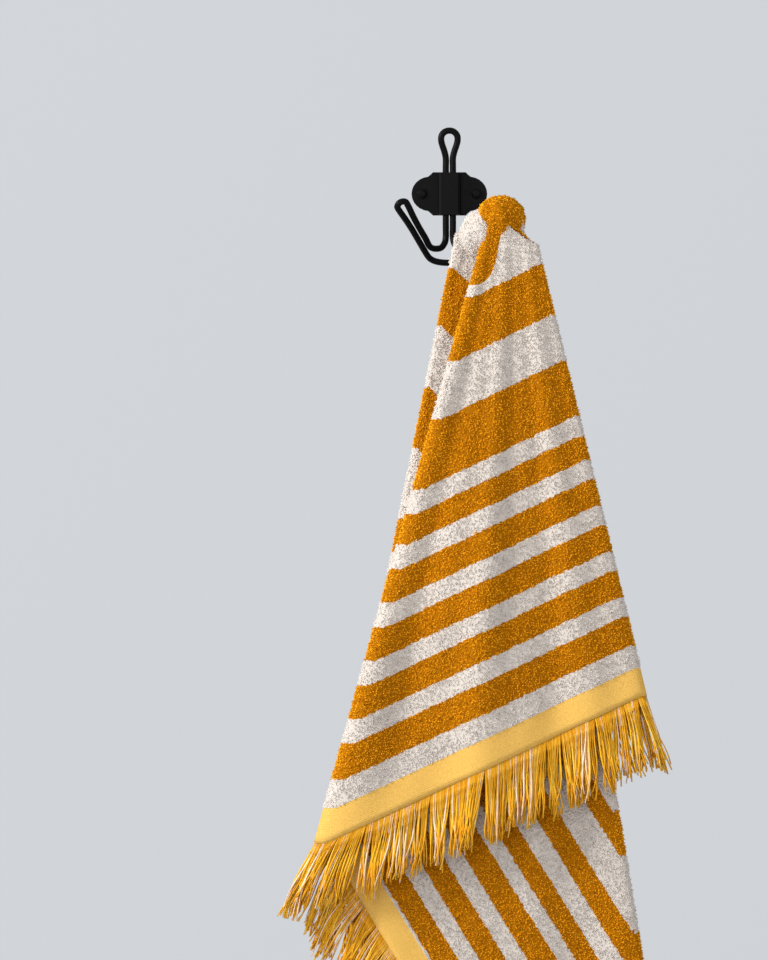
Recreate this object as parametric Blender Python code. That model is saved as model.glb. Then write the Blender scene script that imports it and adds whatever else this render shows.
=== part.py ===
"""A striped, fringed hand towel hung over one prong of a bent wire wall hook.

Metres, +Z up. The origin is the centre of the hook's backplate, on its flat back. The room is
at -Y, and +X is to the right of someone who faces the hook. The towel is one sheet. It hangs in
folds that fan out from the prong, so every line down the cloth from the prong is a ray with two
angles: where it lies in the flat cloth, and how far it leans from upright as it hangs.
"""

import math

import bmesh
import bpy
from mathutils import Matrix, Vector

MM = 0.001

# Flat cloth, measured from the point where the folds would meet above the prong
FRONT_REACH = 359 * MM
REAR_REACH = 371 * MM
SIDE_REACH = 505 * MM
CLOTH_THICK = 2.2 * MM

# One row for each fold or free edge, in order along the sheet. In degrees: angle lies in the flat
# cloth, from the front end's direction, and lean is from upright, positive to the right. apex_x,
# apex_z and top_z are in mm. layer is the depth, in layers, of the cloth that follows the row.
FOLD_COLUMNS = ("name", "angle", "lean", "apex_x", "apex_z", "top_z", "layer", "columns")
FOLDS = (
    ("front_edge", 0.0, 3.5, 39.1, 31.4, -22, 1, 3),
    ("right_fold", 10.4, 13.6, 39.1, 31.4, -34, 0, 9),
    ("left_fold", 39.6, -15.6, 39.1, 31.4, -14, 2, 9),
    ("middle_right", 65.2, 9.3, 38.5, 22.0, -18, 3, 5),
    ("inner_left", 93.0, -11.5, 38.0, 26.0, -18, 4, 5),
    ("inner_right", 118.0, 7.5, 37.0, 28.0, -18, 5, 7),
    ("rear_left", 141.4, -11.3, 16.4, 31.4, -27, 6, 6),
    ("rear_right", 163.0, 9.0, 36.0, 28.0, -20, 7, 4),
    ("rear_edge", 180.0, -4.0, 36.0, 28.0, -18, 7, 0),
)
BEND_TURNS = (-90, -30, 30, 90)
CLOTH_ROWS = 13

# How the layers stand one behind the other, close at the prong and looser lower down
FRONT_Y = -62 * MM
PITCH_TOP = 2.9 * MM
PITCH_LOW = 6.6 * MM
LOOSE_FROM_Z = -15 * MM
LOOSE_TO_Z = -300 * MM
WAVE_DEPTH = 2.6 * MM
WAVE_LENGTH = 88 * MM

# Bunched cloth over the prong's tip, as centre and radii in mm
BUNCHES = (
    ("crown", (32.5, -49.5, -17.0), (15.0, 16.0, 14.0)),
    ("shoulder", (22.5, -48.0, -27.0), (15.0, 10.5, 13.0)),
)
TIP_CLEARANCE = 0.8 * MM
TIP_ROOM_FROM_Y = -20 * MM

# Fringe: angle in the flat cloth, and the strands' lean there, in degrees
FRONT_FRINGE = (
    (0.0, 4.0), (10.4, 19.0), (13.0, 9.0), (25.0, -3.0), (36.0, -13.0),
    (39.6, -32.0), (48.0, -42.0), (54.7, -22.0),
)
REAR_FRINGE = ((124.5, 6.0), (141.4, -14.0), (163.0, 10.0), (180.0, -4.0))
FRINGE_GAP = 0.9 * MM
FRINGE_BAND = 3 * MM
FRINGE_THICK = 2.0 * MM
STRAND_LENGTH = 50 * MM
STRAND_PITCH = 5.2 * MM
STRAND_TAPER = 0.4
STRAND_SWAY = 0.5

# Hook
PLATE_THICK = 1.6 * MM
LOBE_OFFSET = 12.5 * MM
LOBE_RADIUS_X = 12 * MM
LOBE_RADIUS_Z = 11.2 * MM
BAND_HALF_WIDTH = 11.8 * MM
BAND_HALF_HEIGHT = 14 * MM
CHANNEL_HALF_WIDTH = 7.6 * MM
CHANNEL_DEPTH = 7.9 * MM
CHANNEL_WALL = 1.3 * MM
SCREW_X = 17.6 * MM
SCREW_RADIUS = 3.4 * MM
SCREW_HEIGHT = 1.5 * MM
WIRE_RADIUS = 2.1 * MM
WIRE_GAP = 0.4 * MM
WIRE_POINTS = 84
STEM_Y = -(PLATE_THICK + 0.3 * MM + WIRE_RADIUS)
STEM_X = WIRE_RADIUS + WIRE_GAP / 2
PRONG_FOOT = Vector((-12, -9, -39.5)) * MM
PRONG_TIP = Vector((-30.5, -36, -9)) * MM
EYE_HALF_WIDTH = 3.3 * MM


def material(name, colour, roughness, metallic=0.0):
    made = bpy.data.materials.new(name)
    made.use_nodes = True
    shader = made.node_tree.nodes["Principled BSDF"]
    shader.inputs["Base Color"].default_value = (*colour, 1)
    shader.inputs["Roughness"].default_value = roughness
    shader.inputs["Metallic"].default_value = metallic
    return made


def new_object(name, mesh, surface):
    made = bpy.data.objects.new(name, mesh)
    mesh.materials.append(surface)
    bpy.context.scene.collection.objects.link(made)
    return made


def mesh_of(name, points, faces):
    mesh = bpy.data.meshes.new(name)
    mesh.from_pydata([tuple(p) for p in points], [], faces)
    shape = bmesh.new()
    shape.from_mesh(mesh)
    bmesh.ops.recalc_face_normals(shape, faces=shape.faces)
    bmesh.ops.triangulate(shape, faces=shape.faces[:])
    shape.to_mesh(mesh)
    shape.free()
    return mesh


def guide(name, mesh):
    made = bpy.data.objects.new(name, mesh)
    made.hide_render = True
    made.display_type = "WIRE"
    bpy.context.scene.collection.objects.link(made)
    return made


def boolean(target, other, operation):
    step = target.modifiers.new(other.name, "BOOLEAN")
    step.object = other
    step.operation = operation
    step.solver = "MANIFOLD"


def mix(a, b, share):
    return a + (b - a) * share


def looked_up(table, key):
    for (low, first), (high, second) in zip(table, table[1:]):
        if key <= high:
            return mix(first, second, max(0.0, (key - low) / (high - low)))
    return table[-1][1]


# The towel's sheet

FRONT_CORNER = math.degrees(math.atan2(SIDE_REACH, FRONT_REACH))
REAR_CORNER = 180 - math.degrees(math.atan2(SIDE_REACH, REAR_REACH))


def reach(angle):
    """How far the flat cloth runs from the apex in that direction."""
    along, across = math.cos(math.radians(angle)), math.sin(math.radians(angle))
    reaches = [SIDE_REACH / across] if across > 1e-6 else []
    if along > 1e-6:
        reaches.append(FRONT_REACH / along)
    if along < -1e-6:
        reaches.append(REAR_REACH / -along)
    return min(reaches)


def looseness(z):
    share = min(1.0, max(0.0, (LOOSE_FROM_Z - z) / (LOOSE_FROM_Z - LOOSE_TO_Z)))
    return share * share * (3 - 2 * share)


def depth_y(layer, x, z):
    pitch = mix(PITCH_TOP, PITCH_LOW, looseness(z))
    wave = WAVE_DEPTH * looseness(z) * math.sin(2 * math.pi * x / WAVE_LENGTH + z / (90 * MM))
    return FRONT_Y + layer * pitch + wave


def ray(angle, lean, apex_x, apex_z, top_z, layer, inset):
    return {
        "angle": angle, "lean": lean, "apex_x": apex_x * MM, "apex_z": apex_z * MM,
        "top_z": top_z * MM, "layer": layer, "inset": inset,
    }


def blended(a, b, share):
    return {key: mix(a[key], b[key], share) for key in a}


def sheet_rays():
    """The rays of the sheet in order, round each fold and across each layer."""
    rows = [dict(zip(FOLD_COLUMNS, row)) for row in FOLDS]
    rays = []
    for number, row in enumerate(rows):
        keys = [row[key] for key in ("angle", "lean", "apex_x", "apex_z", "top_z")]
        before = rows[number - 1]["layer"] if number else row["layer"]
        side = math.copysign(1, row["lean"])
        jump = row["layer"] - before
        turns = BEND_TURNS if jump else (0,)
        for turn in turns:
            swing = math.radians(turn)
            inset = -side * abs(jump) / 2 * (1 - math.cos(swing))
            layer = before + jump * (1 + math.sin(swing)) / 2 if jump else row["layer"]
            rays.append(ray(*keys, layer, inset))
        if number + 1 < len(rows):
            after = rows[number + 1]
            next_jump = after["layer"] - row["layer"]
            next_keys = [after[key] for key in ("angle", "lean", "apex_x", "apex_z", "top_z")]
            next_side = math.copysign(1, after["lean"])
            start = rays[-1]
            end = ray(*next_keys, row["layer"], -next_side * abs(next_jump) / 2)
            rays += layer_rays(start, end, row["columns"])
    return rays


def layer_rays(start, end, columns):
    """Rays across one flat layer, one of them on the sheet's corner where it lies there."""
    shares = [(k + 1) / (columns + 1) for k in range(columns)]
    for corner in (FRONT_CORNER, REAR_CORNER):
        if start["angle"] < corner < end["angle"]:
            at = (corner - start["angle"]) / (end["angle"] - start["angle"])
            nearest = min(range(columns), key=lambda k: abs(shares[k] - at))
            shares[nearest] = at
    return [blended(start, end, share) for share in shares]


def on_ray(one, radius):
    """A point of the sheet's middle surface."""
    lean = math.radians(one["lean"])
    z = one["apex_z"] - radius * math.cos(lean)
    pitch = mix(PITCH_TOP, PITCH_LOW, looseness(z))
    x = one["apex_x"] + radius * math.sin(lean) + one["inset"] * pitch
    return Vector((x, depth_y(one["layer"], x, z), z))


def top_radius(one):
    return (one["apex_z"] - one["top_z"]) / math.cos(math.radians(one["lean"]))


def two_sides(middle, thick):
    """Points half a thickness to either side of a line of points, level with it."""
    pairs = []
    last = len(middle) - 1
    for k, point in enumerate(middle):
        along = middle[min(k + 1, last)] - middle[max(k - 1, 0)]
        normal = Vector((along.y, -along.x, 0)).normalized()
        pairs.append((point + normal * thick / 2, point - normal * thick / 2))
    return pairs


def towel_mesh(rays):
    points, faces = [], []
    for row in range(CLOTH_ROWS + 1):
        down = row / CLOTH_ROWS
        middle = [on_ray(one, mix(top_radius(one), reach(one["angle"]), down)) for one in rays]
        for outer, inner in two_sides(middle, CLOTH_THICK):
            points += [outer, inner]
    across = len(rays)

    def at(row, column, side):
        return 2 * (row * across + column) + side

    for row in range(CLOTH_ROWS):
        for column in range(across - 1):
            for side in (0, 1):
                faces.append((
                    at(row, column, side), at(row, column + 1, side),
                    at(row + 1, column + 1, side), at(row + 1, column, side),
                ))
        for column in (0, across - 1):
            faces.append((
                at(row, column, 0), at(row, column, 1),
                at(row + 1, column, 1), at(row + 1, column, 0),
            ))
    for row in (0, CLOTH_ROWS):
        for column in range(across - 1):
            faces.append((
                at(row, column, 0), at(row, column + 1, 0),
                at(row, column + 1, 1), at(row, column, 1),
            ))
    return mesh_of("towel", points, faces)


def bunch_mesh(name, centre, radii):
    shape = bmesh.new()
    bmesh.ops.create_uvsphere(shape, u_segments=20, v_segments=12, radius=1.0)
    size = Matrix.Diagonal((*(r * MM for r in radii), 1))
    bmesh.ops.transform(shape, matrix=Matrix.Translation(Vector(centre) * MM) @ size, verts=shape.verts)
    mesh = bpy.data.meshes.new(name)
    shape.to_mesh(mesh)
    shape.free()
    return mesh


def tip_room_mesh():
    """The space that the right prong takes in the bunched cloth."""
    shape = bmesh.new()
    for centre in wire_centres():
        if centre.x > 0 and centre.y < TIP_ROOM_FROM_Y:
            made = bmesh.ops.create_icosphere(shape, subdivisions=2, radius=WIRE_RADIUS + TIP_CLEARANCE)
            bmesh.ops.translate(shape, verts=made["verts"], vec=centre)
    bmesh.ops.delete(shape, geom=shape.edges[:], context="EDGES_FACES")
    hull = bmesh.ops.convex_hull(shape, input=shape.verts[:])
    bmesh.ops.delete(shape, geom=hull["geom_interior"], context="VERTS")
    bmesh.ops.recalc_face_normals(shape, faces=shape.faces[:])
    mesh = bpy.data.meshes.new("tip_room")
    shape.to_mesh(mesh)
    shape.free()
    return mesh


def build_towel(rays, surface):
    towel = new_object("towel", towel_mesh(rays), surface)
    for name, centre, radii in BUNCHES:
        boolean(towel, guide(name, bunch_mesh(name, centre, radii)), "UNION")
    boolean(towel, guide("tip_room", tip_room_mesh()), "DIFFERENCE")


# The fringes

def stations(rays, first, last, pitch):
    """The rays of the sheet's lower edge, with more between them about one pitch apart."""
    found = [rays[first]]
    for a, b in zip(rays[first:last], rays[first + 1:last + 1]):
        wide = (on_ray(b, reach(b["angle"])) - on_ray(a, reach(a["angle"]))).length
        count = max(1, round(wide / pitch))
        found += [blended(a, b, (step + 1) / count) for step in range(count)]
    return found


def strand_ring(corners, centre, lean, drop, taper, layer):
    """The four corners of a strand's root, moved down the strand and drawn together."""
    move = Vector((math.sin(lean) * drop, 0, -math.cos(lean) * drop))
    low = centre + move
    low.y = depth_y(layer, low.x, low.z)
    return [low + (corner - centre) * taper for corner in corners]


def build_fringe(name, rays, first, last, leans, bends, surface):
    spots = stations(rays, first, last, STRAND_PITCH)
    points, faces = [], []
    for down in (FRINGE_GAP, FRINGE_GAP + FRINGE_BAND):
        middle = [on_ray(one, reach(one["angle"]) + down) for one in spots]
        points += [p for pair in two_sides(middle, FRINGE_THICK) for p in pair]
    low = 2 * len(spots)
    for k in range(len(spots) - 1):
        a, b = 2 * k, 2 * k + 2
        faces += [
            (a, b, b + low, a + low), (a + 1, b + 1, b + 1 + low, a + 1 + low), (a, b, b + 1, a + 1),
        ]
        root = (a + low, b + low, b + 1 + low, a + 1 + low)
        corners = [points[i].copy() for i in root]
        centre = sum(corners, Vector()) / 4
        one = blended(spots[k], spots[k + 1], 0.5)
        lean = math.radians(looked_up(leans, one["angle"]) + STRAND_SWAY * math.sin(k * 2.3))
        length = STRAND_LENGTH * (1 + 0.09 * math.sin(k * 1.7))
        above = root
        for step in range(1, bends + 1):
            share = step / bends
            curl = lean * (1 - 0.35 * share)
            taper = mix(1, STRAND_TAPER, share)
            ring = strand_ring(corners, centre, curl, length * share, taper, one["layer"])
            below = tuple(range(len(points), len(points) + 4))
            points += ring
            for side in range(4):
                after = (side + 1) % 4
                faces.append((above[side], above[after], below[after], below[side]))
            above = below
        faces.append(above)
    for end in (0, 2 * len(spots) - 2):
        faces.append((end, end + 1, end + 1 + low, end + low))
    new_object(name, mesh_of(name, points, faces), surface)


# The hook

def outline_points():
    """The backplate's outline: a round lobe at each side and a square middle."""
    points = []
    for side in (1, -1):
        for k in range(13):
            turn = math.radians(-84 + 14 * k)
            x = LOBE_OFFSET + LOBE_RADIUS_X * math.cos(turn)
            z = LOBE_RADIUS_Z * math.sin(turn)
            points.append((side * x, side * z))
        points += [
            (side * BAND_HALF_WIDTH, side * (BAND_HALF_HEIGHT - 1.2 * MM)),
            (side * (BAND_HALF_WIDTH - 1.2 * MM), side * BAND_HALF_HEIGHT),
            (-side * (BAND_HALF_WIDTH - 1.2 * MM), side * BAND_HALF_HEIGHT),
            (-side * BAND_HALF_WIDTH, side * (BAND_HALF_HEIGHT - 1.2 * MM)),
        ]
    return points


def prism(name, outline, low, high, place):
    """A closed solid between two levels, place(a, b, level) turning outline and level to a point."""
    count = len(outline)
    points = [place(a, b, level) for level in (low, high) for a, b in outline]
    faces = [tuple(range(count)), tuple(range(count, 2 * count))]
    for k in range(count):
        after = (k + 1) % count
        faces.append((k, after, after + count, k + count))
    return mesh_of(name, points, faces)


def build_plate(surface):
    plate = new_object("plate", prism(
        "plate", outline_points(), -PLATE_THICK, 0.0, lambda a, b, y: (a, y, b)), surface)
    wall, wide, deep = CHANNEL_WALL, CHANNEL_HALF_WIDTH, CHANNEL_DEPTH
    lip = PLATE_THICK / 2
    outer = [(-wide, -lip), (-wide + 0.8 * MM, -deep + 1.2 * MM), (-wide + 2.2 * MM, -deep),
             (wide - 2.2 * MM, -deep), (wide - 0.8 * MM, -deep + 1.2 * MM), (wide, -lip)]
    inner = [(x * (1 - wall / wide), y + (wall if y < -2 * wall else -PLATE_THICK / 2))
             for x, y in outer]
    clip = outer + inner[::-1]
    band = guide("channel", prism(
        "channel", clip, -BAND_HALF_HEIGHT + 0.3 * MM, BAND_HALF_HEIGHT - 0.3 * MM,
        lambda a, b, z: (a, b, z)))
    boolean(plate, band, "UNION")


def build_screw(name, x, surface):
    """A plain round-headed screw, just clear of the plate's lobe."""
    shape = bmesh.new()
    rings = [(1.0, 0.0), (0.97, 0.35), (0.75, 0.8), (0.4, 1.0)]
    base = -(PLATE_THICK + 0.3 * MM)
    corners = []
    for radius, height in rings:
        ring = [shape.verts.new((
            x + SCREW_RADIUS * radius * math.cos(math.radians(30 * k)),
            base - SCREW_HEIGHT * height,
            SCREW_RADIUS * radius * math.sin(math.radians(30 * k)))) for k in range(12)]
        corners.append(ring)
    for upper, lower in zip(corners, corners[1:]):
        for k in range(12):
            after = (k + 1) % 12
            shape.faces.new((upper[k], upper[after], lower[after], lower[k]))
    shape.faces.new(corners[0])
    shape.faces.new(corners[-1])
    bmesh.ops.recalc_face_normals(shape, faces=shape.faces)
    mesh = bpy.data.meshes.new(name)
    shape.to_mesh(mesh)
    shape.free()
    new_object(name, mesh, surface)


def prong_axes():
    """The left prong's foot, its direction, and the way across it in its own flat."""
    direction = (PRONG_TIP - PRONG_FOOT).normalized()
    outward = Vector((-direction.z, 0, direction.x)).normalized()
    return PRONG_FOOT, direction, outward


def mirrored(point):
    return Vector((-point.x, point.y, point.z))


def half_wire():
    """Route of the left half of the wire, from the top of its loop to the foot between the prongs."""
    foot, direction, outward = prong_axes()
    side = WIRE_RADIUS + WIRE_GAP / 2
    route = [Vector(p) * MM for p in (
        (0, -5.2, 40.8), (-3.0, -5.2, 40.0), (-5.0, -5.1, 37.6), (-5.3, -5.0, 34.6),
        (-4.6, -4.7, 31.4), (-3.3, -4.3, 27.6))]
    for z in (23, 17, 8, -3, -14, -22, -28):
        route.append(Vector((-STEM_X, STEM_Y, z * MM)))
    route += [Vector(p) * MM for p in ((-3.2, -5.0, -32.2), (-6.2, -7.6, -35.4))]
    length = (PRONG_TIP - foot).length
    inner = ((5, -side), (14, -side), (24, -side), (33, -1.12 * side), (length / MM, -EYE_HALF_WIDTH))
    route += [foot + direction * run * MM + outward * offset for run, offset in inner]
    route.append(foot + direction * (length + 2.4 * MM) - outward * 2.3 * MM)
    route.append(foot + direction * (length + EYE_HALF_WIDTH))
    route.append(foot + direction * (length + 2.4 * MM) + outward * 2.3 * MM)
    route += [foot + direction * run * MM - outward * offset for run, offset in inner[::-1]]
    route += [Vector(p) * MM for p in ((-12.6, -9.2, -42.0), (-7.5, -8.3, -44.2), (0, -8.0, -44.8))]
    return route


def smooth_loop(route, count):
    """Evenly spaced points on a smooth closed curve through the route."""
    fine = []
    total = len(route)
    for k in range(total):
        a, b, c, d = (route[(k + step - 1) % total] for step in range(4))
        for part in range(8):
            t = part / 8
            fine.append(0.5 * (2 * b + (c - a) * t + (2 * a - 5 * b + 4 * c - d) * t * t
                               + (3 * b - a - 3 * c + d) * t * t * t))
    fine.append(fine[0])
    run = [0.0]
    for a, b in zip(fine, fine[1:]):
        run.append(run[-1] + (b - a).length)
    points, k = [], 0
    for step in range(count):
        want = run[-1] * step / count
        while run[k + 1] < want:
            k += 1
        points.append(fine[k].lerp(fine[k + 1], (want - run[k]) / (run[k + 1] - run[k])))
    return points


def wire_centres():
    left = half_wire()
    return smooth_loop(left + [mirrored(p) for p in left[-2:0:-1]], WIRE_POINTS)


def build_wire(surface):
    centres = wire_centres()
    curve = bpy.data.curves.new("wire", "CURVE")
    curve.dimensions = "3D"
    curve.bevel_depth = WIRE_RADIUS
    curve.bevel_resolution = 2
    curve.twist_mode = "MINIMUM"
    line = curve.splines.new("POLY")
    line.points.add(len(centres) - 1)
    for spot, centre in zip(line.points, centres):
        spot.co = (*centre, 1)
    line.use_cyclic_u = True
    new_object("wire", curve, surface)


def main():
    for found in list(bpy.data.objects):
        bpy.data.objects.remove(found)
    terry = material("terry", (0.62, 0.36, 0.07), 0.95)
    yarn = material("yarn", (0.72, 0.47, 0.12), 0.9)
    enamel = material("enamel", (0.012, 0.012, 0.014), 0.35, 0.2)
    rays = sheet_rays()
    build_towel(rays, terry)
    angles = [one["angle"] for one in rays]
    front_end = max(k for k, angle in enumerate(angles) if angle <= FRONT_CORNER + 1e-6)
    rear_start = min(k for k, angle in enumerate(angles) if angle >= REAR_CORNER - 1e-6)
    build_fringe("fringe_front", rays, 0, front_end, FRONT_FRINGE, 2, yarn)
    build_fringe("fringe_rear", rays, rear_start, len(rays) - 1, REAR_FRINGE, 1, yarn)
    build_plate(enamel)
    build_screw("screw_left", -SCREW_X, enamel)
    build_screw("screw_right", SCREW_X, enamel)
    build_wire(enamel)


main()
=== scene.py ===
"""The looks of a striped terry hand towel that hangs in folds on a black wire hook.

Metres, +Z up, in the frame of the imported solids: the origin is on the hook's flat back, the room
is at -Y. The cloth is one sheet of rays that fan out from above the prong. Each ray has an angle
in the flat cloth and a lean as it hangs, so a point's place along the cloth, which the woven
stripes follow, is its distance down the ray times the cosine of that angle.
"""

import math
import random

import bmesh
import bpy
import numpy as np
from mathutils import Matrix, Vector, noise
from mathutils.bvhtree import BVHTree

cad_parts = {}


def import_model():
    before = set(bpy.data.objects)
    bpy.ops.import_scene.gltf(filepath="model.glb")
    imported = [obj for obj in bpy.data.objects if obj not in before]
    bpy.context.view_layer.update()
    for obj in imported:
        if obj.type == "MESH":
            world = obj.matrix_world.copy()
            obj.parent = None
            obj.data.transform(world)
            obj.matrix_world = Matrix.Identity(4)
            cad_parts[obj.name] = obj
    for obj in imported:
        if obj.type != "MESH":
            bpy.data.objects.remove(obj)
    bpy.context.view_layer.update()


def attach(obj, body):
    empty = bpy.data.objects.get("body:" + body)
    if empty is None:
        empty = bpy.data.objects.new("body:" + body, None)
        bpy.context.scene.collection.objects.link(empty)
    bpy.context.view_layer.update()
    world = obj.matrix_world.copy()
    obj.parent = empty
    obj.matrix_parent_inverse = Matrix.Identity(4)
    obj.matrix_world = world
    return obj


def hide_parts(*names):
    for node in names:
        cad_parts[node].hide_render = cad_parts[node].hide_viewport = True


MM = 0.001
SEED = 7
TINY = 1e-6
THIRD_TURN = 2 * math.pi / 3

# Flat cloth, measured from the point where the folds would meet above the prong
FRONT_REACH = 359 * MM
REAR_REACH = 371 * MM
SIDE_REACH = 505 * MM
CLOTH_THICK = 2.2 * MM

# One row for each fold or free edge, in order along the sheet. In degrees: angle lies in the flat
# cloth, from the front end's direction, and lean is from upright, positive to the right. apex_x,
# apex_z and top_z are in mm. layer is the depth, in layers, of the cloth that follows the row.
FOLD_COLUMNS = ("name", "angle", "lean", "apex_x", "apex_z", "top_z", "layer", "columns")
FOLDS = (
    ("front_edge", 0.0, 3.5, 39.1, 31.4, -22, 1, 8),
    ("right_fold", 10.4, 13.6, 39.1, 31.4, -34, 0, 40),
    ("left_fold", 39.6, -15.6, 39.1, 31.4, -14, 2, 36),
    ("middle_right", 65.2, 9.3, 38.5, 22.0, -18, 3, 18),
    ("inner_left", 93.0, -11.5, 38.0, 26.0, -18, 4, 16),
    ("inner_right", 118.0, 7.5, 37.0, 28.0, -18, 5, 24),
    ("rear_left", 141.4, -11.3, 16.4, 31.4, -27, 6, 22),
    ("rear_right", 163.0, 9.0, 36.0, 28.0, -20, 7, 16),
    ("rear_edge", 180.0, -4.0, 36.0, 28.0, -18, 7, 0),
)
BEND_TURNS = (-90, -60, -30, 0, 30, 60, 90)
CLOTH_ROWS = 84

# How the layers stand one behind the other, close at the prong and looser lower down
FRONT_Y = -62 * MM
PITCH_TOP = 2.9 * MM
PITCH_LOW = 6.6 * MM
LOOSE_FROM_Z = -15 * MM
LOOSE_TO_Z = -300 * MM
WAVE_DEPTH = 2.6 * MM
WAVE_LENGTH = 88 * MM
WAVE_SLANT = 90 * MM

# Soft folds that fan out from above the prong, as depth, folds per radian of lean, and start
FAN_X = 39.1 * MM
FAN_Z = 31.4 * MM
SOFT_FOLDS = ((2.1 * MM, 31.0, 0.4), (1.0 * MM, 67.0, 2.1))

# Uneven creases, with the noise's scale across and down the cloth
RUMPLE_DEPTH = 1.1 * MM
RUMPLE_WIDE = 55.0
RUMPLE_TALL = 24.0

# How far the outermost panels swell, by layer, towards the room or the back
BULGES = {0: -6.0 * MM, 7: 4.0 * MM}

# Bunched cloth over the prong's tip, as centre and radii in mm, how much longer its lower half is,
# the place along the cloth, in mm, that it is bunched from, and 1 where that is in the rear half
BUNCHES = (
    ("crown", (32.5, -49.5, -17.0), (15.0, 14.6, 14.0), 1.8, 20.0, 0.0),
    ("shoulder", (21.5, -49.5, -27.5), (14.5, 12.5, 15.5), 1.0, 50.0, 1.0),
)
BUNCH_RINGS = 30
BUNCH_SIDES = 56
BUNCH_PLEATS = 7
BUNCH_PLEAT_DEPTH = 0.05
BUNCH_TWIST = 2.0

# Where each woven stripe ends, in mm along the cloth from the apex, gold and cream by turns. The
# faces start with gold, and the front half's back starts with cream.
FRONT_FACE_ENDS = (
    48.2, 78.7, 112.0, 141.9, 177.0, 189.3, 205.7, 218.0, 235.0, 247.3, 264.9, 277.2, 294.7,
    307.0, 325.2,
)
FRONT_BACK_ENDS = (
    48.2, 78.7, 112.0, 141.9, 177.0, 189.3, 210.6, 226.4, 239.5, 254.2, 264.2, 282.1, 295.3,
    310.6, 322.7, 338.0,
)
REAR_FACE_ENDS = (
    33.0, 63.4, 93.0, 125.0, 155.5, 191.0, 208.0, 220.5, 237.5, 250.0, 267.0, 279.5, 296.5,
    309.0, 326.0, 338.5,
)
STRIPE_SPAN = 400.0
FRONT_HEM_FROM = 341.0
REAR_HEM_FROM = 352.0

# By the crease at the top, the bunched cloth draws the stripes down: the angles where this
# starts, is full and ends, where along the cloth it fades, and how far it draws them, in
# degrees and mm
DRAWN_ANGLES = (31.5, 36.5, 52.0)
DRAWN_FADE = (64.0, 79.0)
DRAWN_DOWN = 90.0

# Colours in linear light
GOLD = (0.96, 0.43, 0.012)
# GOLD_DEEP and CREAM_DEEP serve as painted shade between and among the loops, and as darker random
# tone
GOLD_DEEP = (0.36, 0.122, 0.002)
CREAM = (0.77, 0.705, 0.645)
CREAM_DEEP = (0.61, 0.55, 0.495)
HEM = (0.86, 0.53, 0.13)
HEM_DEEP = (0.46, 0.22, 0.03)
YARN_COLOURS = (
    (0.0, (0.80, 0.38, 0.016)), (0.45, (0.90, 0.50, 0.03)), (0.74, (0.92, 0.60, 0.11)),
    (0.86, (0.92, 0.74, 0.58)),
)
ENAMEL = (0.003, 0.003, 0.0033)

# How the terry varies: noise scales, how far in mm the stripes' edges stray, how much each kind of
# unevenness counts, among them a fine grain of painted shade among the loops, and the levels at which
# the colour is at its deepest and its brightest
FUZZ_SCALE = 420
FUZZ_REACH = 3.4
GRAIN_SHADE_SCALE = 900
GRAIN_SHADE_AMOUNT = 0.4
PATCH_SCALE = 60
PATCH_AMOUNT = 0.08
TUFT_TONE_AND_SHADE_AMOUNT = 0.5
DEEP_AT = 0.28
BRIGHT_AT = 0.60
RELIEF_SCALE = 1300

# How the hems vary: ribs in radians per mm along the cloth, and the threads' noise
HEM_RIBS = 5.2
RIB_SHADE = 0.1
RIB_RELIEF = 0.12
THREAD_SCALE = 1100
THREAD_LEVEL = 0.25
THREAD_AMOUNT = 1.2

# How the yarns and the enamel vary, and each bump's strength and distance
SPECKLE_SCALE = 1500
SPECKLE_AMOUNT = 0.4
ENAMEL_ROUGHNESS = 0.28
ENAMEL_PATCHES = 0.16
ENAMEL_PATCH_SCALE = 260
ENAMEL_RELIEF_SCALE = 700
TERRY_BUMP = (0.4, 0.6 * MM)
YARN_BUMP = (0.4, 0.3 * MM)
ENAMEL_BUMP = (0.12, 0.2 * MM)

# Terry pile. The tufts stand closer on the room's side, by ROOM_SIDE_SHARE. A tuft needs room
# over it, looked for from a share of the cloth's thickness above its spot.
CLOTH_VALUES = ("along", "rear", "reverse")
PILE_PIECES = 3
TUFTS_PER_PIECE = 46000
ROOM_SIDE_SHARE = 1.6
TUFT_LOOK_FROM = 0.3
TUFT_ROOM = 14 * MM
TUFT_ROOT = 0.78 * MM
TUFT_SPREAD = (0.8, 1.2)
TUFT_SUNK = 0.25 * MM
TUFT_HEIGHT = (0.6 * MM, 1.3 * MM)
TUFT_STRAY = 0.25 * MM
TUFT_DROOP = 0.2 * MM
# Share of a tuft's tone at its root corners, as painted shade at the roots
TUFT_SHADE = 0.85
TUFT_TONE = (1.6, 1.3)
TUFT_FACES = ((0, 2, 1), (0, 1, 3), (1, 2, 3), (2, 0, 3))

# Fringe: angle in the flat cloth, and the yarns' lean there, in degrees
FRONT_FRINGE = (
    (0.0, 4.0), (10.4, 19.0), (13.0, 9.0), (25.0, -3.0), (36.0, -13.0),
    (39.6, -32.0), (48.0, -42.0), (54.7, -22.0),
)
REAR_FRINGE = ((124.5, 6.0), (141.4, -14.0), (163.0, 10.0), (180.0, -4.0))

# Loose yarns and the clumps that they gather in. The pairs are ranges of shares of a length or a
# radius. A yarn's twist and stray are in radians, and a clump's swing is in degrees.
YARN_LENGTH = 50 * MM
YARN_PITCH = 0.55 * MM
YARN_RADIUS = 0.72 * MM
YARN_STEPS = 8
YARN_TAPER = 0.2
YARN_TWIST = 0.35
YARN_ROOT_IN = 0.8 * MM
YARN_SAG = 0.35
YARN_WAVES = 5
YARN_LENGTHS = (0.88, 1.04)
YARN_SIZES = (0.8, 1.15)
WANDER_LEAN = 0.34
WANDER_START = 6
WANDER_DEPTH = 1.8 * MM
YARNS_PER_CLUMP = 9
CLUMP_PULL = 0.25
CLUMP_SHIFT = 1 * MM
CLUMP_SWING = 8
CLUMP_LENGTHS = (0.9, 1.08)

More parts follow.
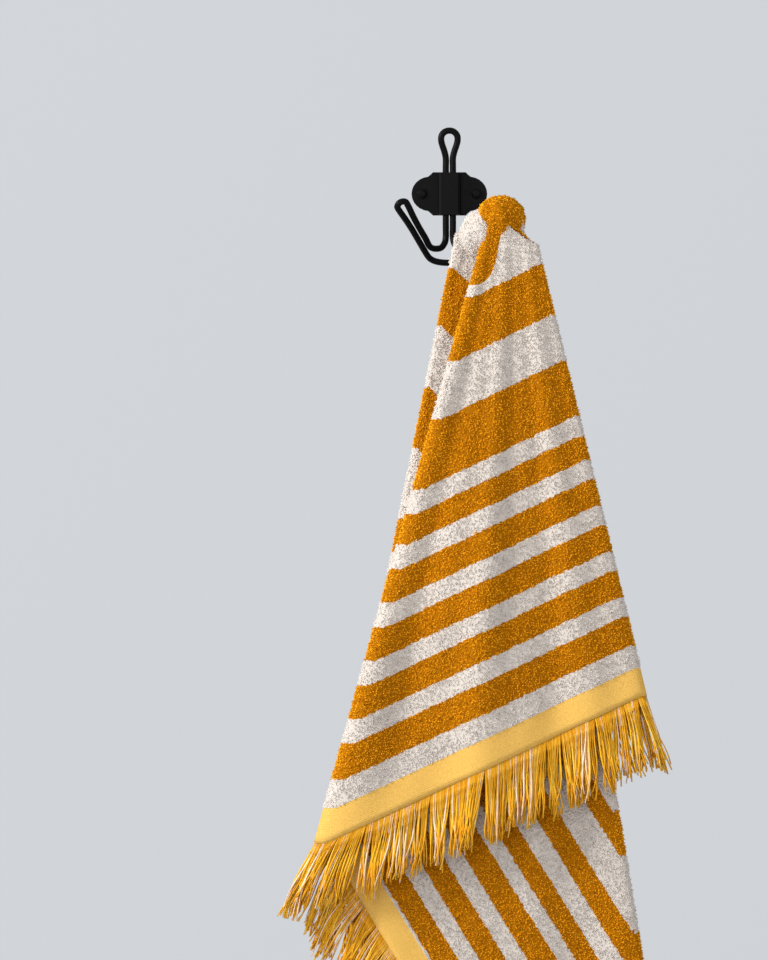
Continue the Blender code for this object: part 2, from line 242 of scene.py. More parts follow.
# Hook wire, as in the solids
PLATE_THICK = 1.6 * MM
WIRE_RADIUS = 2.1 * MM
WIRE_GAP = 0.4 * MM
WIRE_POINTS = 360
ROUTE_PARTS = 24
STEM_Y = -(PLATE_THICK + 0.3 * MM + WIRE_RADIUS)
STEM_X = WIRE_RADIUS + WIRE_GAP / 2
PRONG_FOOT = Vector((-12, -9, -39.5)) * MM
PRONG_TIP = Vector((-30.5, -36, -9)) * MM
EYE_HALF_WIDTH = 3.3 * MM
SOFT_EDGE = 0.35 * MM

# Camera, from the photograph: the picture's middle lies here on the cloth's front
VIEW_X = -42.3 * MM
VIEW_Z = -185.2 * MM
CAMERA_Y = -5.0
LENS = 289.6

# Floor, with its left, right, front and back edges
FLOOR_Z = -0.72
FLOOR_EDGES = (-8.0, 8.0, -14.0, 3.4)
FLOOR_PAINT = (0.5, 0.51, 0.53)

# Sky light, brighter to the left, the back and above, as linear colour and slant in each axis
SKY = (0.53, 0.547, 0.57)
SKY_SLANT = (-0.25, 0.205, 0.15)
SKY_STRENGTH = 1.0

# Lamps, with places and sizes in metres and power in watts
LAMP_COLUMNS = ("name", "place", "aim", "size", "power", "colour")
LAMPS = (
    ("key", (-2.0, -1.0, 0.8), (0, 0, -0.25), 0.7, 62, (1.0, 0.98, 0.95)),
    ("front", (-0.5, -2.4, 0.5), (0, 0, -0.3), 1.4, 14, (1, 1, 1)),
    ("fill", (1.6, -1.6, 0.2), (0, 0, -0.3), 1.6, 8, (1, 1, 1)),
    ("back_fill", (0.4, 1.8, 0.6), (0, 0, -0.3), 1.6, 9, (1, 1, 1)),
)


# The cloth's surface

def mix(a, b, share):
    return a + (b - a) * share


def looked_up(table, key):
    """The value at a key, in line between a table's rows of key and value."""
    for (low, first), (high, second) in zip(table, table[1:]):
        if key <= high:
            return mix(first, second, max(0.0, (key - low) / (high - low)))
    return table[-1][1]


def smooth_share(low, high, value):
    """0 up to the low end and 1 from the high end, with a soft start and stop between."""
    share = min(1.0, max(0.0, (value - low) / (high - low)))
    return share * share * (3 - 2 * share)


FRONT_CORNER = math.degrees(math.atan2(SIDE_REACH, FRONT_REACH))
REAR_CORNER = 180 - math.degrees(math.atan2(SIDE_REACH, REAR_REACH))


def reach(angle):
    """How far the flat cloth runs from the apex in that direction."""
    along, across = math.cos(math.radians(angle)), math.sin(math.radians(angle))
    reaches = [SIDE_REACH / across] if across > TINY else []
    if along > TINY:
        reaches.append(FRONT_REACH / along)
    if along < -TINY:
        reaches.append(REAR_REACH / -along)
    return min(reaches)


def looseness(z):
    """0 where the layers lie close at the prong, and 1 where they hang loose below it."""
    return smooth_share(LOOSE_FROM_Z, LOOSE_TO_Z, z)


def depth_y(layer, x, z):
    """Depth of a layer. Its waves and soft folds are the same for all layers, so none touch."""
    loose = looseness(z)
    pitch = mix(PITCH_TOP, PITCH_LOW, loose)
    y = FRONT_Y + layer * pitch
    y += WAVE_DEPTH * loose * math.sin(2 * math.pi * x / WAVE_LENGTH + z / WAVE_SLANT)
    lean = math.atan2(x - FAN_X, FAN_Z - z)
    for depth, folds, start in SOFT_FOLDS:
        y += depth * math.sqrt(loose) * math.sin(folds * lean + start)
    rumple = noise.noise(Vector((x * RUMPLE_WIDE, 0.0, z * RUMPLE_TALL)))
    return y + RUMPLE_DEPTH * loose * rumple


def ray(angle, lean, apex_x, apex_z, top_z, layer, inset):
    return {
        "angle": angle, "lean": lean, "apex_x": apex_x * MM, "apex_z": apex_z * MM,
        "top_z": top_z * MM, "layer": layer, "inset": inset, "bulge": 0.0,
    }


def blended(a, b, share):
    return {key: mix(a[key], b[key], share) for key in a}


def sheet_rays():
    """The rays of the sheet in order, round each fold and across each layer."""
    rows = [dict(zip(FOLD_COLUMNS, row)) for row in FOLDS]
    rays = []
    for number, row in enumerate(rows):
        keys = [row[key] for key in ("angle", "lean", "apex_x", "apex_z", "top_z")]
        before = rows[number - 1]["layer"] if number else row["layer"]
        side = math.copysign(1, row["lean"])
        jump = row["layer"] - before
        turns = BEND_TURNS if jump else (0,)
        for turn in turns:
            swing = math.radians(turn)
            inset = -side * abs(jump) / 2 * (1 - math.cos(swing))
            layer = before + jump * (1 + math.sin(swing)) / 2 if jump else row["layer"]
            rays.append(ray(*keys, layer, inset))
        if number + 1 < len(rows):
            after = rows[number + 1]
            next_jump = after["layer"] - row["layer"]
            next_keys = [after[key] for key in ("angle", "lean", "apex_x", "apex_z", "top_z")]
            next_side = math.copysign(1, after["lean"])
            end = ray(*next_keys, row["layer"], -next_side * abs(next_jump) / 2)
            rays += layer_rays(rays[-1], end, row["columns"])
    return rays


def layer_rays(start, end, columns):
    """Rays across one flat layer, one of them on the sheet's corner where it lies there."""
    shares = [(k + 1) / (columns + 1) for k in range(columns)]
    for corner in (FRONT_CORNER, REAR_CORNER):
        if start["angle"] < corner < end["angle"]:
            at = (corner - start["angle"]) / (end["angle"] - start["angle"])
            nearest = min(range(columns), key=lambda k: abs(shares[k] - at))
            shares[nearest] = at
    rays = [blended(start, end, share) for share in shares]
    for one, share in zip(rays, shares):
        one["bulge"] = BULGES.get(start["layer"], 0.0) * math.sin(math.pi * share)
    return rays


def on_ray(one, radius):
    """A point of the sheet's middle surface."""
    lean = math.radians(one["lean"])
    z = one["apex_z"] - radius * math.cos(lean)
    pitch = mix(PITCH_TOP, PITCH_LOW, looseness(z))
    x = one["apex_x"] + radius * math.sin(lean) + one["inset"] * pitch
    return Vector((x, depth_y(one["layer"], x, z) + one["bulge"] * looseness(z), z))


def top_radius(one):
    """How far down its ray the cloth starts."""
    return (one["apex_z"] - one["top_z"]) / math.cos(math.radians(one["lean"]))


def two_sides(middle, thick):
    """Pairs of points, half a thickness to either side of a level line, the reverse side first."""
    pairs = []
    last = len(middle) - 1
    for k, point in enumerate(middle):
        along = middle[min(k + 1, last)] - middle[max(k - 1, 0)]
        normal = Vector((along.y, -along.x, 0)).normalized()
        pairs.append((point + normal * thick / 2, point - normal * thick / 2))
    return pairs


def set_values(mesh, name, numbers):
    """Give each point of a mesh a value that its material reads."""
    spot = mesh.attributes.new(name, "FLOAT", "POINT")
    spot.data.foreach_set("value", np.asarray(numbers, dtype=np.float32).reshape(-1))


class Shape:
    """Points, faces and per-point values that grow together into one mesh."""

    def __init__(self, *values):
        self.points, self.faces = [], []
        self.values = {name: [] for name in values}

    def add(self, point, **values):
        self.points.append(tuple(point))
        for name, value in values.items():
            self.values[name].append(value)

    def mesh(self, name):
        mesh = bpy.data.meshes.new(name)
        mesh.from_pydata(self.points, [], self.faces)
        for key, numbers in self.values.items():
            set_values(mesh, key, numbers)
        shape = bmesh.new()
        shape.from_mesh(mesh)
        bmesh.ops.recalc_face_normals(shape, faces=shape.faces)
        shape.to_mesh(mesh)
        shape.free()
        mesh.shade_smooth()
        return mesh


def new_piece(name, data, surface):
    """A visible piece that belongs to the one body, with its material."""
    made = bpy.data.objects.new(name, data)
    data.materials.append(surface)
    bpy.context.scene.collection.objects.link(made)
    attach(made, "root")
    return made


def woven_place(angle, radius):
    """The place along the cloth, in mm from the apex, that the stripes take their colour from."""
    along = radius / MM * math.cos(math.radians(angle))
    starts, full, ends = DRAWN_ANGLES
    near = smooth_share(starts, full, angle) * (1 - smooth_share(full, ends, angle))
    if along <= 0:
        return along
    return max(1.0, along - DRAWN_DOWN * near * (1 - smooth_share(*DRAWN_FADE, along)))


def cloth_shape(rays):
    """The whole sheet, each point with its place along the cloth, its half and its side."""
    shape = Shape(*CLOTH_VALUES)
    for row in range(CLOTH_ROWS + 1):
        down = row / CLOTH_ROWS
        radii = [mix(top_radius(one), reach(one["angle"]), down) for one in rays]
        middle = [on_ray(one, radius) for one, radius in zip(rays, radii)]
        for one, radius, pair in zip(rays, radii, two_sides(middle, CLOTH_THICK)):
            along = woven_place(one["angle"], radius)
            for face, point in enumerate(pair):
                shape.add(point, along=abs(along), rear=float(along < 0), reverse=1.0 - face)
    across = len(rays)

    def at(row, column, side):
        return 2 * (row * across + column) + side

    for row in range(CLOTH_ROWS):
        for column in range(across - 1):
            for side in (0, 1):
                shape.faces.append((
                    at(row, column, side), at(row, column + 1, side),
                    at(row + 1, column + 1, side), at(row + 1, column, side),
                ))
        for column in (0, across - 1):
            shape.faces.append((
                at(row, column, 0), at(row, column, 1),
                at(row + 1, column, 1), at(row + 1, column, 0),
            ))
    for row in (0, CLOTH_ROWS):
        for column in range(across - 1):
            shape.faces.append((
                at(row, column, 0), at(row, column + 1, 0),
                at(row, column + 1, 1), at(row, column, 1),
            ))
    return shape


def add_bunch(shape, centre, radii, longer, along, rear):
    """Cloth gathered over the prong: a rounded lump with pleats that twist down it."""
    first = len(shape.points)
    middle = Vector(centre) * MM
    rings, sides = BUNCH_RINGS, BUNCH_SIDES
    for ring in range(rings + 1):
        tilt = math.pi * ring / rings
        wide, high = math.sin(tilt), math.cos(tilt)
        for side in range(1 if ring in (0, rings) else sides):
            turn = 2 * math.pi * side / sides
            pleat = math.sin(BUNCH_PLEATS * turn + BUNCH_TWIST * high)
            swell = 1 + BUNCH_PLEAT_DEPTH * pleat * wide ** 2
            way = Vector((wide * math.cos(turn), wide * math.sin(turn), high))
            if way.z < 0:
                way.z *= longer
            point = middle + Vector(w * r * MM * swell for w, r in zip(way, radii))
            shape.add(point, along=along, rear=rear, reverse=0.0)
    top, bottom = first, len(shape.points) - 1
    for side in range(sides):
        after = (side + 1) % sides
        shape.faces.append((top, first + 1 + side, first + 1 + after))
        shape.faces.append((bottom, bottom - sides + after, bottom - sides + side))
        for ring in range(rings - 2):
            a, b = first + 1 + ring * sides, first + 1 + (ring + 1) * sides
            shape.faces.append((a + side, b + side, b + after, a + after))


# Pile

def hem_from(rear):
    """Where along the cloth the hem of each point's half starts, in mm."""
    return np.where(rear > 0.5, REAR_HEM_FROM, FRONT_HEM_FROM)


def point_values(mesh):
    """The values that colour the cloth, as one array for each of their names."""
    values = {}
    for name in CLOTH_VALUES:
        values[name] = np.empty(len(mesh.vertices), dtype=np.float32)
        mesh.attributes[name].data.foreach_get("value", values[name])
    return values


def has_room(tree, place, normal):
    """True where no other cloth lies close over the spot."""
    outward = Vector(normal)
    start = Vector(place) + outward * CLOTH_THICK * TUFT_LOOK_FROM
    return tree.ray_cast(start, outward, TUFT_ROOM)[0] is None


def pile_spots(mesh, tree, count, random_source):
    """Random spots on the cloth's open faces, off the hems, with their normals and values."""
    places = np.empty(len(mesh.vertices) * 3, dtype=np.float32)
    mesh.vertices.foreach_get("co", places)
    places = places.reshape(-1, 3).astype(np.float64)
    values = point_values(mesh)
    sides = [face for face in mesh.polygons if len(face.vertices) == 4]
    quads = np.array([tuple(face.vertices) for face in sides])
    facing = np.array([face.normal[:] for face in sides])
    a, b, c, d = (places[quads[:, k]] for k in range(4))
    areas = np.linalg.norm(np.cross(c - a, d - b), axis=1) / 2
    weight = areas * np.where(facing[:, 1] < 0, ROOM_SIDE_SHARE, 1.0)
    found = {name: [] for name in ("place", "normal", *CLOTH_VALUES)}
    total = 0
    while total < count:
        picked = random_source.choice(len(quads), size=count, p=weight / weight.sum())
        u, v = random_source.random(count), random_source.random(count)
        shares = ((1 - u) * (1 - v), u * (1 - v), u * v, (1 - u) * v)
        corners = quads[picked]
        normal = facing[picked]
        place = sum(places[corners[:, k]] * share[:, None] for k, share in enumerate(shares))
        held = {}
        for name, numbers in values.items():
            held[name] = sum(numbers[corners[:, k]] * share for k, share in enumerate(shares))
        keep = held["along"] < hem_from(held["rear"])
        for k in np.nonzero(keep)[0]:
            keep[k] = has_room(tree, place[k], normal[k])
        for name, numbers in (("place", place), ("normal", normal), *held.items()):
            found[name].append(numbers[keep])
        total += int(keep.sum())
    return {name: np.concatenate(parts)[:count] for name, parts in found.items()}


def tuft_mesh(name, spots, random_source):
    """One four-sided tuft at each spot: three root corners and a tip that leans over."""
    place, normal = spots["place"], spots["normal"]
    count = len(place)
    side = np.cross(normal, random_source.normal(size=(count, 3)))
    side /= np.linalg.norm(side, axis=1)[:, None]
    other = np.cross(normal, side)
    height = random_source.uniform(*TUFT_HEIGHT, size=(count, 1))
    tip = place + normal * height + random_source.normal(size=(count, 3)) * TUFT_STRAY
    tip[:, 2] -= TUFT_DROOP
    corners = []
    for third in range(3):
        turn = third * THIRD_TURN
        spread = TUFT_ROOT * mix(*TUFT_SPREAD, random_source.random((count, 1)))
        way = side * math.cos(turn) + other * math.sin(turn)
        corners.append(place - normal * TUFT_SUNK + way * spread)
    points = np.stack([*corners, tip], axis=1).reshape(-1, 3)
    first = np.arange(count)[:, None] * 4
    faces = np.concatenate([first + np.array(face) for face in TUFT_FACES])
    mesh = bpy.data.meshes.new(name)
    mesh.from_pydata(points.tolist(), [], faces.tolist())
    for key in CLOTH_VALUES:
        set_values(mesh, key, np.repeat(spots[key], 4))
    # Each tuft has a random tone, lower at its root corners than at its tip: painted shade at the
    # roots
    shades = np.array([TUFT_SHADE, TUFT_SHADE, TUFT_SHADE, 1.0])
    set_values(mesh, "tuft_tone_and_shade", random_source.beta(*TUFT_TONE, size=(count, 1)) * shades)
    mesh.shade_smooth()
    return mesh


def build_pile(cloth_mesh, surface):
    """The terry's loops as small tufts, in a few pieces so that none is too large."""
    cloth_mesh.calc_loop_triangles()
    tree = BVHTree.FromPolygons(
        [v.co for v in cloth_mesh.vertices], [tuple(t.vertices) for t in cloth_mesh.loop_triangles])
    source = np.random.default_rng(SEED)
    pieces = []
    for number in range(PILE_PIECES):
        spots = pile_spots(cloth_mesh, tree, TUFTS_PER_PIECE, source)
        name = f"pile_{number + 1}"
        pieces.append(new_piece(name, tuft_mesh(name, spots, source), surface))
    return pieces


# Fringe

def fringe_spots(rays, first, last):
    """Rays one yarn apart along the sheet's lower edge."""
    found = []
    for a, b in zip(rays[first:last], rays[first + 1:last + 1]):
        wide = (on_ray(b, reach(b["angle"])) - on_ray(a, reach(a["angle"]))).length
        count = max(1, round(wide / YARN_PITCH))
        found += [blended(a, b, (step + 0.5) / count) for step in range(count)]
    return found


def add_yarn(shape, line, radius, shade):
    """A three-sided tube along a line of points, thinner to its end and closed at both."""
    first = len(shape.points)
    last = len(line) - 1
    for step, point in enumerate(line):
        size = radius * (1 - YARN_TAPER * step / last)
        for side in range(3):
            turn = THIRD_TURN * side + YARN_TWIST * step
            shape.add(point + Vector((math.cos(turn), math.sin(turn), 0)) * size, shade=shade)
    for step in range(last):
        low = first + 3 * step
        for side in range(3):
            after = (side + 1) % 3
            shape.faces.append((low + side, low + after, low + 3 + after, low + 3 + side))
    end = first + 3 * last
    shape.faces += [(first, first + 1, first + 2), (end, end + 1, end + 2)]


def yarn_line(one, lean, length, target, wander):
    """Points down one yarn, which bends under its weight and leans over to its clump's end."""
    root = on_ray(one, reach(one["angle"]) - YARN_ROOT_IN)
    line = [root]
    x, z = root.x, root.z
    step = length / YARN_STEPS
    for k in range(1, YARN_STEPS + 1):
        share = k / YARN_STEPS
        stray = wander["lean"] * math.sin(YARN_WAVES * share + wander["start"]) * share
        now = lean * (1 - YARN_SAG * share) + stray
        x += math.sin(now) * step
        z -= math.cos(now) * step
        pulled = mix(x, x + (target - root.x) * CLUMP_PULL, share * share)
        y = depth_y(one["layer"], pulled, z) + one["bulge"] * looseness(z) + wander["depth"] * share
        line.append(Vector((pulled, y, z)))
    return line


def build_fringe(name, node, rays, first, last, leans, surface):
    """Loose yarns in clumps along one end of the cloth, in the place of that end's solid."""
    source = random.Random(SEED)
    spots = fringe_spots(rays, first, last)
    shape = Shape("shade")
    for start in range(0, len(spots), YARNS_PER_CLUMP):
        clump = spots[start:start + YARNS_PER_CLUMP]
        centre = clump[len(clump) // 2]
        middle = on_ray(centre, reach(centre["angle"])).x
        target = middle + source.uniform(-CLUMP_SHIFT, CLUMP_SHIFT)
        swing = math.radians(source.uniform(-CLUMP_SWING, CLUMP_SWING))
        long = YARN_LENGTH * source.uniform(*CLUMP_LENGTHS)
        for one in clump:
            lean = math.radians(looked_up(leans, one["angle"])) + swing
            wander = {
                "lean": source.uniform(-WANDER_LEAN, WANDER_LEAN),
                "start": source.uniform(0, WANDER_START),
                "depth": source.uniform(-WANDER_DEPTH, WANDER_DEPTH),
            }
            line = yarn_line(one, lean, long * source.uniform(*YARN_LENGTHS), target, wander)
            add_yarn(shape, line, YARN_RADIUS * source.uniform(*YARN_SIZES), source.random())
    made = new_piece(name, shape.mesh(name), surface)
    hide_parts(node)
    return made


# Hook

def prong_axes():
    """The left prong's foot, its direction, and the way across it in its own flat."""
    direction = (PRONG_TIP - PRONG_FOOT).normalized()
    outward = Vector((-direction.z, 0, direction.x)).normalized()
    return PRONG_FOOT, direction, outward


def half_wire():
    """Route of the left half of the wire, from the top of its loop to the foot between the prongs."""
    foot, direction, outward = prong_axes()
    side = WIRE_RADIUS + WIRE_GAP / 2
    route = [Vector(p) * MM for p in (
        (0, -5.2, 40.8), (-3.0, -5.2, 40.0), (-5.0, -5.1, 37.6), (-5.3, -5.0, 34.6),
        (-4.6, -4.7, 31.4), (-3.3, -4.3, 27.6))]
    for z in (23, 17, 8, -3, -14, -22, -28):
        route.append(Vector((-STEM_X, STEM_Y, z * MM)))
    route += [Vector(p) * MM for p in ((-3.2, -5.0, -32.2), (-6.2, -7.6, -35.4))]
    length = (PRONG_TIP - foot).length
    inner = ((5, -side), (14, -side), (24, -side), (33, -1.12 * side), (length / MM, -EYE_HALF_WIDTH))
    route += [foot + direction * run * MM + outward * offset for run, offset in inner]
    route.append(foot + direction * (length + 2.4 * MM) - outward * 2.3 * MM)
    route.append(foot + direction * (length + EYE_HALF_WIDTH))
    route.append(foot + direction * (length + 2.4 * MM) + outward * 2.3 * MM)
    route += [foot + direction * run * MM - outward * offset for run, offset in inner[::-1]]
    route += [Vector(p) * MM for p in ((-12.6, -9.2, -42.0), (-7.5, -8.3, -44.2), (0, -8.0, -44.8))]
    return route


def smooth_loop(route, count):
    """Evenly spaced points on a smooth closed curve through the route."""
    fine = []
    total = len(route)
    for k in range(total):
        a, b, c, d = (route[(k + step - 1) % total] for step in range(4))
        for part in range(ROUTE_PARTS):
            t = part / ROUTE_PARTS
            fine.append(0.5 * (2 * b + (c - a) * t + (2 * a - 5 * b + 4 * c - d) * t * t
                               + (3 * b - a - 3 * c + d) * t * t * t))
    fine.append(fine[0])
    run = [0.0]
    for a, b in zip(fine, fine[1:]):
        run.append(run[-1] + (b - a).length)
    points, k = [], 0
    for step in range(count):
        want = run[-1] * step / count
        while run[k + 1] < want:
            k += 1
        points.append(fine[k].lerp(fine[k + 1], (want - run[k]) / (run[k + 1] - run[k])))
    return points


def build_wire(surface):
    """The hook's wire, rounder than its solid."""
    left = half_wire()
    right = [Vector((-p.x, p.y, p.z)) for p in left[-2:0:-1]]
    curve = bpy.data.curves.new("wire_coated", "CURVE")
    curve.dimensions = "3D"
    curve.bevel_depth = WIRE_RADIUS
    curve.bevel_resolution = 6
    curve.twist_mode = "MINIMUM"
    centres = smooth_loop(left + right, WIRE_POINTS)
    line = curve.splines.new("POLY")
    line.points.add(len(centres) - 1)
    for spot, centre in zip(line.points, centres):
        spot.co = (*centre, 1)
    line.use_cyclic_u = True
    made = new_piece("wire_coated", curve, surface)
    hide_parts("wire")
    return made


def dress_hook(surface):
    """The plate and screws keep their solids, with softer edges and the wire's coating."""
    for name in ("plate", "screw_left", "screw_right"):
        node = bpy.data.objects[name]
        node.data.materials.clear()
        node.data.materials.append(surface)
        edge = node.modifiers.new("soft_edge", "BEVEL")
        edge.width = SOFT_EDGE
        edge.segments = 2
        edge.limit_method = "ANGLE"


# Materials

class Nodes:
    """A material's node tree, with short ways to add and join nodes."""

    def __init__(self, name):
        self.material = bpy.data.materials.new(name)
        self.material.use_nodes = True
        self.tree = self.material.node_tree
        self.shader = self.tree.nodes["Principled BSDF"]

    def add(self, kind, **settings):
        node = self.tree.nodes.new(kind)
        for key, value in settings.items():
            setattr(node, key, value)
        return node

    def join(self, value, socket):
        if isinstance(value, bpy.types.NodeSocket):
            self.tree.links.new(value, socket)
        else:
            socket.default_value = value

    def maths(self, operation, *values):
        node = self.add("ShaderNodeMath", operation=operation)
        for value, socket in zip(values, node.inputs):
            self.join(value, socket)
        return node.outputs[0]

    def times(self, a, b):
        return self.maths("MULTIPLY", a, b)

    def plus(self, a, b):
        return self.maths("ADD", a, b)

    def attribute(self, name):
        return self.add("ShaderNodeAttribute", attribute_name=name).outputs["Fac"]

    def noise(self, scale, detail=2.0, roughness=0.5):
        node = self.add("ShaderNodeTexNoise")
        place = self.add("ShaderNodeTexCoord")
        self.join(place.outputs["Object"], node.inputs["Vector"])
        node.inputs["Scale"].default_value = scale
        node.inputs["Detail"].default_value = detail
        node.inputs["Roughness"].default_value = roughness
        return node.outputs["Fac"]

    def colours(self, share, first, second):
        node = self.add("ShaderNodeMix", data_type="RGBA")
        self.join(share, node.inputs["Factor"])
        for value, socket in ((first, node.inputs["A"]), (second, node.inputs["B"])):
            self.join((*value, 1) if isinstance(value, tuple) else value, socket)
        return node.outputs["Result"]

    def ramp(self, share, stops, steps=True):
        node = self.add("ShaderNodeValToRGB")
        node.color_ramp.interpolation = "CONSTANT" if steps else "LINEAR"
        elements = node.color_ramp.elements
        while len(elements) > 1:
            elements.remove(elements[-1])
        for number, (place, colour) in enumerate(stops):
            element = elements[0] if number == 0 else elements.new(place)
            element.position = place
            element.color = (*colour, 1)
        self.join(share, node.inputs["Fac"])
        return node.outputs["Color"]

    def shade(self, values):
        for name, value in values.items():
            self.join(value, self.shader.inputs[name])

    def bump(self, height, strength, distance):
        node = self.add("ShaderNodeBump")
        node.inputs["Strength"].default_value = strength
        node.inputs["Distance"].default_value = distance
        self.join(height, node.inputs["Height"])
        self.join(node.outputs["Normal"], self.shader.inputs["Normal"])


def gold_stops(ends, gold_first):
    """Ramp stops that are white for gold and black for cream, by turns along the cloth."""
    stops = []
    gold = gold_first
    for start in (0.0, *ends):
        stops.append((start / STRIPE_SPAN, (float(gold),) * 3))
        gold = not gold
    return stops


def gold_share(nodes, along, is_rear):
    """1 where the stripe is gold and 0 where it is cream, on both sides of both halves."""
    fuzz = nodes.times(nodes.maths("SUBTRACT", nodes.noise(FUZZ_SCALE), 0.5), FUZZ_REACH)
    place = nodes.maths("DIVIDE", nodes.plus(along, fuzz), STRIPE_SPAN)
    front_face = nodes.ramp(place, gold_stops(FRONT_FACE_ENDS, gold_first=True))
    front_back = nodes.ramp(place, gold_stops(FRONT_BACK_ENDS, gold_first=False))
    rear_face = nodes.ramp(place, gold_stops(REAR_FACE_ENDS, gold_first=True))
    rear_back = nodes.maths("SUBTRACT", 1.0, rear_face)
    is_back = nodes.maths("GREATER_THAN", nodes.attribute("reverse"), 0.5)
    front = nodes.colours(is_back, front_face, front_back)
    rear = nodes.colours(is_back, rear_face, rear_back)
    return nodes.colours(is_rear, front, rear)


def pile_colour(nodes, gold):
    """Gold or cream, with painted shade on the bare cloth between the tufts, at their roots and in a
    fine grain among the loops, and darker in random patches and tufts.
    """
    # A fine grain of painted shade among the terry's loops
    grain_shade = nodes.times(nodes.noise(GRAIN_SHADE_SCALE, 3.0, 0.7), GRAIN_SHADE_AMOUNT)
    patch = nodes.times(nodes.noise(PATCH_SCALE, 3.0), PATCH_AMOUNT)
    # The bare cloth has no such value and takes the deep colour: painted shade between the tufts
    tuft_tone_and_shade = nodes.times(nodes.attribute("tuft_tone_and_shade"), TUFT_TONE_AND_SHADE_AMOUNT)
    raised = nodes.plus(nodes.plus(grain_shade, patch), tuft_tone_and_shade)
    depth = nodes.ramp(raised, ((DEEP_AT, (0.0,) * 3), (BRIGHT_AT, (1.0,) * 3)), steps=False)
    golden = nodes.colours(depth, GOLD_DEEP, GOLD)
    creamy = nodes.colours(depth, CREAM_DEEP, CREAM)
    return nodes.colours(gold, creamy, golden)


def hem_colour(nodes, rib):
    """The flat-woven hem, with its threads and ribs."""
    threads = nodes.maths("SUBTRACT", nodes.noise(THREAD_SCALE, 2.0, 0.8), THREAD_LEVEL)
    weave = nodes.plus(nodes.times(threads, THREAD_AMOUNT), nodes.times(rib, RIB_SHADE))
    return nodes.colours(weave, HEM, HEM_DEEP)


def terry_material():
    nodes = Nodes("terry_cloth")
    along = nodes.attribute("along")
    is_rear = nodes.maths("GREATER_THAN", nodes.attribute("rear"), 0.5)
    rear_later = nodes.times(is_rear, REAR_HEM_FROM - FRONT_HEM_FROM)
    is_hem = nodes.maths("GREATER_THAN", along, nodes.plus(FRONT_HEM_FROM, rear_later))
    rib = nodes.maths("SINE", nodes.times(along, HEM_RIBS))
    pile = pile_colour(nodes, gold_share(nodes, along, is_rear))
    colour = nodes.colours(is_hem, pile, hem_colour(nodes, rib))
    nodes.shade({
        "Base Color": colour, "Roughness": 0.95, "Specular IOR Level": 0.02,
        "Sheen Tint": colour, "Sheen Weight": 0.25, "Sheen Roughness": 0.6,
    })
    ribs = nodes.times(rib, nodes.times(is_hem, RIB_RELIEF))
    nodes.bump(nodes.plus(nodes.noise(RELIEF_SCALE, 2.0, 0.6), ribs), *TERRY_BUMP)
    return nodes.material


def yarn_material():
    nodes = Nodes("cotton_yarn")
    colour = nodes.ramp(nodes.attribute("shade"), YARN_COLOURS)
    speckle = nodes.noise(SPECKLE_SCALE)
    speckled = nodes.colours(nodes.times(speckle, SPECKLE_AMOUNT), colour, YARN_COLOURS[0][1])
    nodes.shade({"Base Color": speckled, "Roughness": 0.85, "Specular IOR Level": 0.1})
    nodes.bump(speckle, *YARN_BUMP)
    return nodes.material


def enamel_material():
    nodes = Nodes("black_enamel")
    patches = nodes.times(nodes.noise(ENAMEL_PATCH_SCALE), ENAMEL_PATCHES)
    roughness = nodes.plus(ENAMEL_ROUGHNESS, patches)
    nodes.shade({"Base Color": (*ENAMEL, 1), "Roughness": roughness, "Specular IOR Level": 0.07})
    nodes.bump(nodes.noise(ENAMEL_RELIEF_SCALE), *ENAMEL_BUMP)
    return nodes.material


# Light, floor and camera

def build_lamp(name, place, aim, size, power, colour):
    lamp = bpy.data.lights.new(name, "AREA")
    lamp.size = size
    lamp.energy = power
    lamp.color = colour
    made = bpy.data.objects.new(name, lamp)
    made.location = place
    made.rotation_euler = (Vector(aim) - Vector(place)).to_track_quat("-Z", "Y").to_euler()
    bpy.context.scene.collection.objects.link(made)


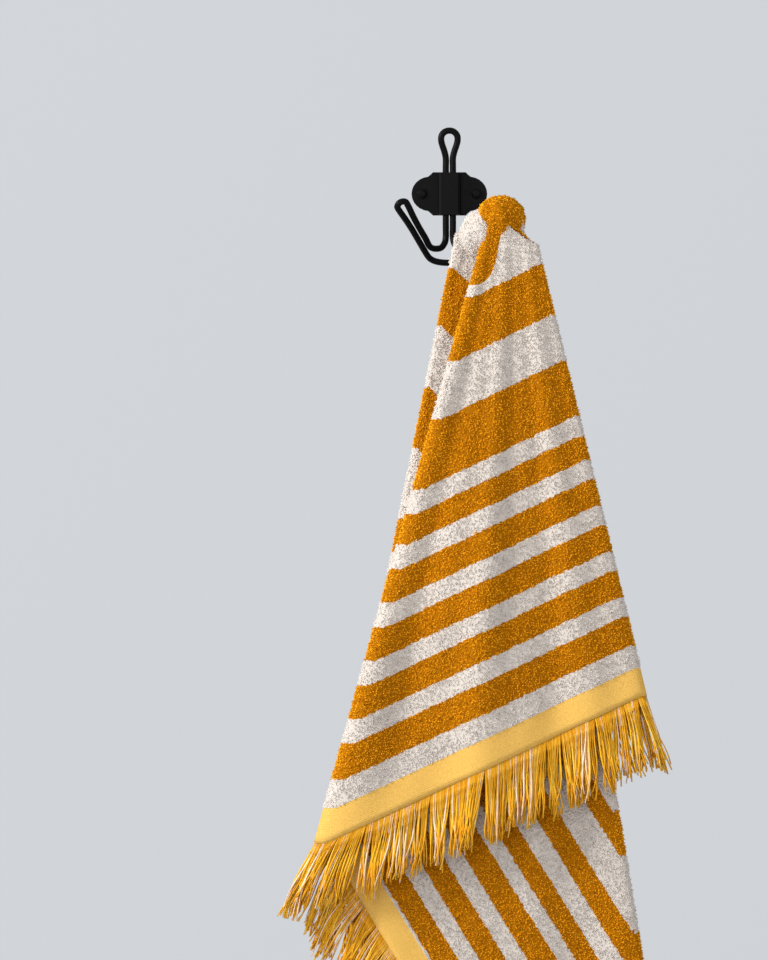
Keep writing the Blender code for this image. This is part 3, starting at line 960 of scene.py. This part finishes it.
def build_sky():
    world = bpy.data.worlds.new("studio")
    world.use_nodes = True
    tree = world.node_tree
    background = tree.nodes["Background"]
    background.inputs["Color"].default_value = (*SKY, 1)
    way = tree.nodes.new("ShaderNodeTexCoord")
    slant = tree.nodes.new("ShaderNodeVectorMath")
    slant.operation = "DOT_PRODUCT"
    slant.inputs[1].default_value = SKY_SLANT
    brighter = tree.nodes.new("ShaderNodeMath")
    brighter.inputs[1].default_value = SKY_STRENGTH
    tree.links.new(way.outputs["Generated"], slant.inputs[0])
    tree.links.new(slant.outputs["Value"], brighter.inputs[0])
    tree.links.new(brighter.outputs[0], background.inputs["Strength"])
    bpy.context.scene.world = world


def build_floor():
    floor = bpy.data.meshes.new("floor")
    left, right, front, back = FLOOR_EDGES
    corners = ((left, front), (right, front), (right, back), (left, back))
    floor.from_pydata([(x, y, FLOOR_Z) for x, y in corners], [], [(0, 1, 2, 3)])
    paint = Nodes("floor_paint")
    paint.shade({"Base Color": (*FLOOR_PAINT, 1), "Roughness": 0.9})
    floor.materials.append(paint.material)
    made = bpy.data.objects.new("floor", floor)
    bpy.context.scene.collection.objects.link(made)


def build_stage():
    build_sky()
    bpy.context.scene.view_settings.view_transform = "Standard"
    for row in LAMPS:
        build_lamp(**dict(zip(LAMP_COLUMNS, row)))
    build_floor()


def build_camera():
    lens = bpy.data.cameras.new("camera")
    lens.lens = LENS
    made = bpy.data.objects.new("camera", lens)
    made.location = (VIEW_X, CAMERA_Y, VIEW_Z)
    made.rotation_euler = (math.radians(90), 0, 0)
    bpy.context.scene.collection.objects.link(made)
    bpy.context.scene.camera = made


def main():
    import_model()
    terry, yarn, enamel = terry_material(), yarn_material(), enamel_material()
    rays = sheet_rays()
    shape = cloth_shape(rays)
    for name, *bunch in BUNCHES:
        add_bunch(shape, *bunch)
    towel = new_piece("towel_cloth", shape.mesh("towel_cloth"), terry)
    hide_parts("towel")
    pile = build_pile(towel.data, terry)
    angles = [one["angle"] for one in rays]
    front_end = max(k for k, angle in enumerate(angles) if angle <= FRONT_CORNER + TINY)
    rear_start = min(k for k, angle in enumerate(angles) if angle >= REAR_CORNER - TINY)
    rear_end = len(rays) - 1
    fringes = [
        build_fringe("fringe_front_yarn", "fringe_front", rays, 0, front_end, FRONT_FRINGE, yarn),
        build_fringe("fringe_rear_yarn", "fringe_rear", rays, rear_start, rear_end, REAR_FRINGE, yarn),
    ]
    wire = build_wire(enamel)
    dress_hook(enamel)
    build_stage()
    build_camera()


main()
